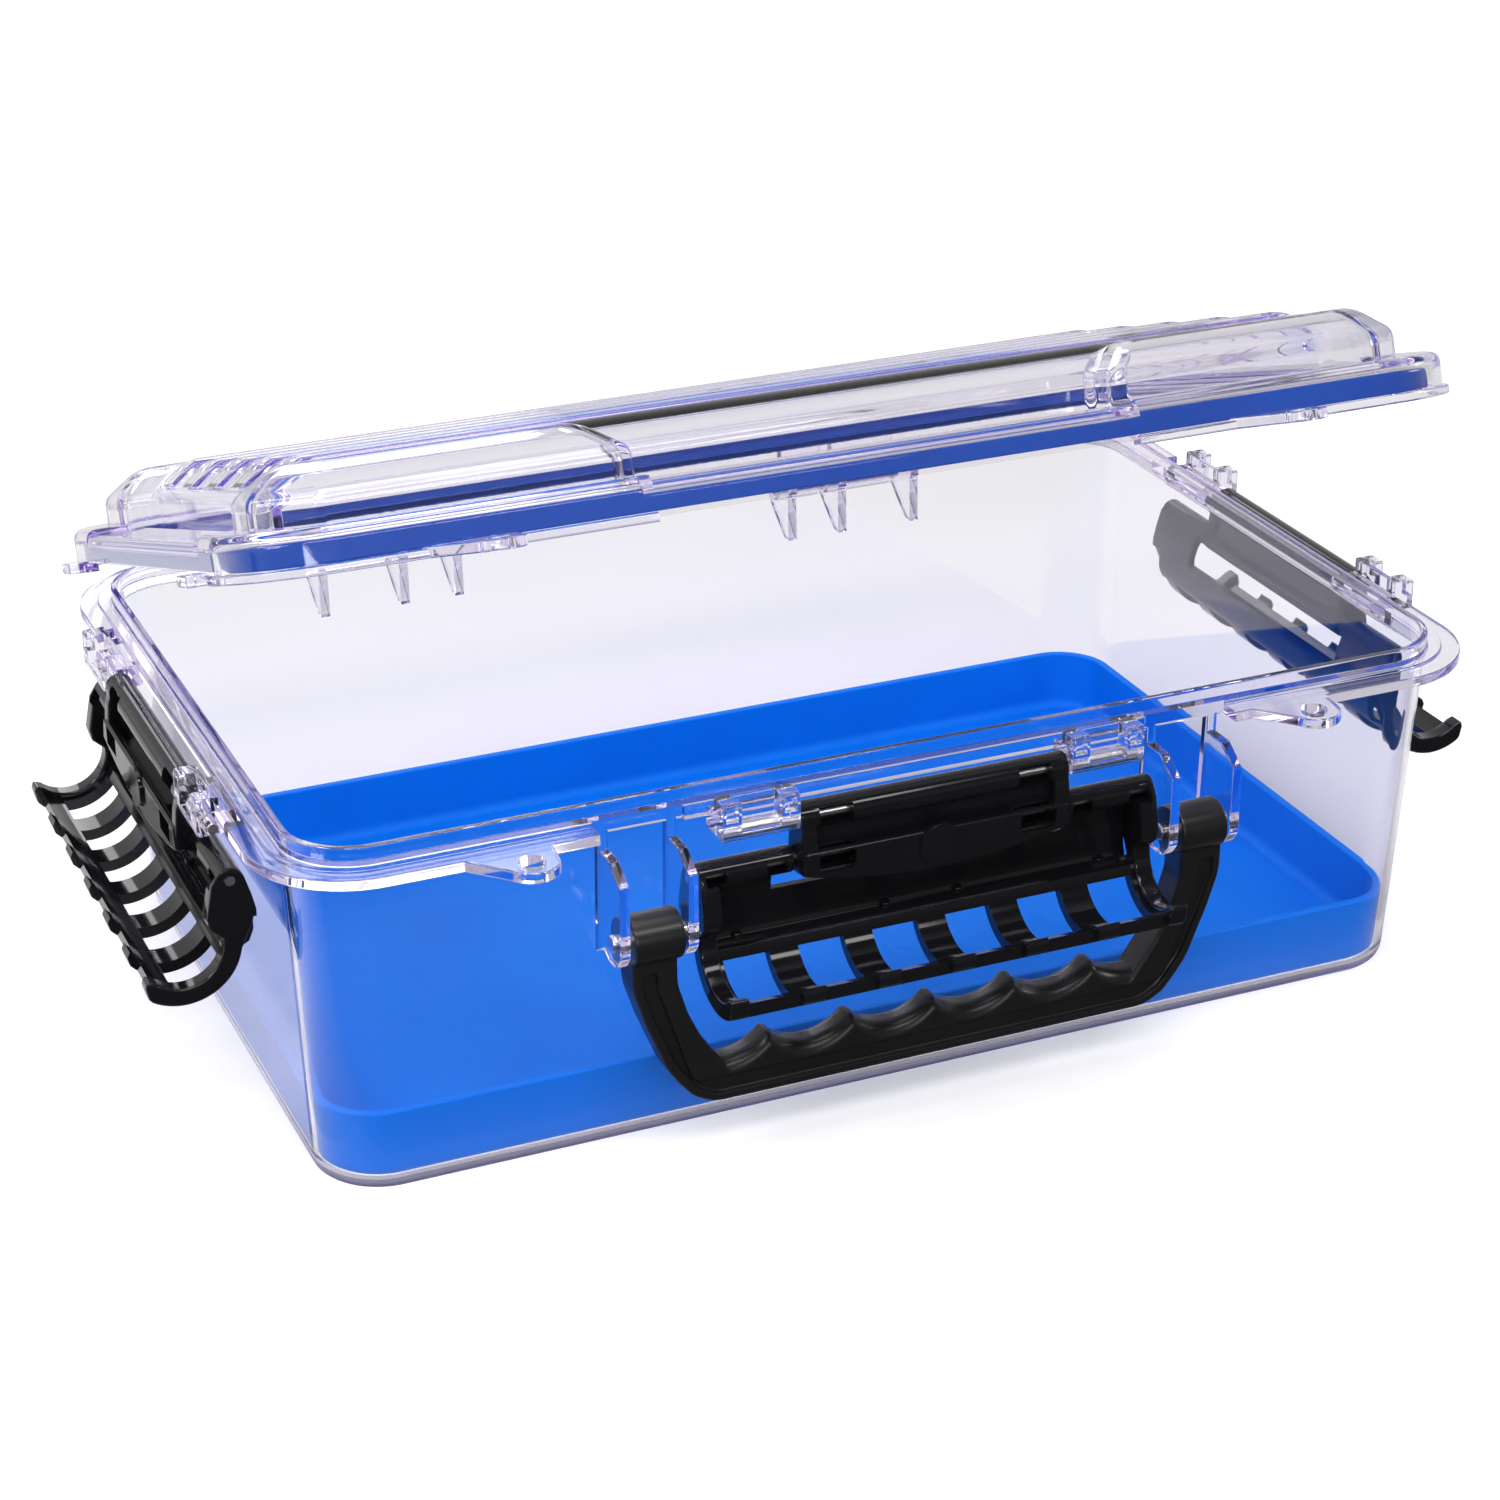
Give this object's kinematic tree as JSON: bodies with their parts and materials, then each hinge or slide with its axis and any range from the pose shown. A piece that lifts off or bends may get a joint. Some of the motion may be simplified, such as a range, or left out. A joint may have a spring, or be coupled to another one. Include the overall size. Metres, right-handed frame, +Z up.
{
  "type": "waterproof storage case",
  "caption": "Clear hard storage case with a hinged two-tier lid, a gasket, over-centre claw latches, a folding carry handle and a tray liner.",
  "frame": {"origin": "middle of the tub's flat underside, which stands on the floor", "axes": "+X to the right along the case's length as seen from the handle side, +Y from the handle side to the hinge, +Z up"},
  "size_m": [0.4178, 0.2698, 0.1999],
  "materials": {
    "clear_shell": "polished clear polycarbonate with a faint lavender tint at its edges",
    "seal_rubber": "smooth royal blue gasket rubber",
    "tray_blue": "matte bright blue plastic",
    "latch_black": "glossy black moulded plastic",
    "handle_black": "satin black moulded plastic",
    "pin_steel": "drawn stainless rod"
  },
  "bodies": {
    "case": {"tub": "clear_shell", "base_liner": "tray_blue", "hinge_pin_left": "pin_steel", "hinge_pin_right": "pin_steel", "carry_handle_pin_left": "pin_steel", "carry_handle_pin_right": "pin_steel", "front_lever_pin": "pin_steel", "left_lever_pin": "pin_steel", "right_lever_pin": "pin_steel"},
    "lid": {"lid": "clear_shell", "lid_seal": "seal_rubber"},
    "handle": {"carry_handle": "handle_black"},
    "front_lever": {"front_latch_lever": "latch_black", "front_claw_pin": "pin_steel"},
    "front_claw": {"front_latch_claw": "latch_black"},
    "left_lever": {"left_latch_lever": "latch_black", "left_claw_pin": "pin_steel"},
    "left_claw": {"left_latch_claw": "latch_black"},
    "right_lever": {"right_latch_lever": "latch_black", "right_claw_pin": "pin_steel"},
    "right_claw": {"right_latch_claw": "latch_black"}
  },
  "joints": [
    {"name": "lid_hinge", "type": "hinge", "parent": "case", "child": "lid", "pos_m": [0, 0.122, 0.0931], "axis": [-1, 0, 0], "range_deg": [-19.09, 91]},
    {"name": "handle_pivot", "type": "hinge", "parent": "case", "child": "handle", "pos_m": [0, -0.12, 0.0715], "axis": [-1, 0, 0], "range_deg": [0, 100]},
    {"name": "front_lever_pivot", "type": "hinge", "parent": "case", "child": "front_lever", "pos_m": [0, -0.119, 0.098], "axis": [-1, 0, 0], "range_deg": [0, 125]},
    {"name": "front_claw_pivot", "type": "hinge", "parent": "front_lever", "child": "front_claw", "pos_m": [0, -0.117, 0.085], "axis": [1, 0, 0], "range_deg": [-155, 0]},
    {"name": "left_lever_pivot", "type": "hinge", "parent": "case", "child": "left_lever", "pos_m": [-0.1856, 0, 0.098], "axis": [0, 1, 0], "range_deg": [0, 125]},
    {"name": "left_claw_pivot", "type": "hinge", "parent": "left_lever", "child": "left_claw", "pos_m": [-0.1836, 0, 0.085], "axis": [0, -1, 0], "range_deg": [-155, 0]},
    {"name": "right_lever_pivot", "type": "hinge", "parent": "case", "child": "right_lever", "pos_m": [0.1856, 0, 0.098], "axis": [0, -1, 0], "range_deg": [0, 125]},
    {"name": "right_claw_pivot", "type": "hinge", "parent": "right_lever", "child": "right_claw", "pos_m": [0.1836, 0, 0.085], "axis": [0, 1, 0], "range_deg": [-155, 0]}
  ]
}
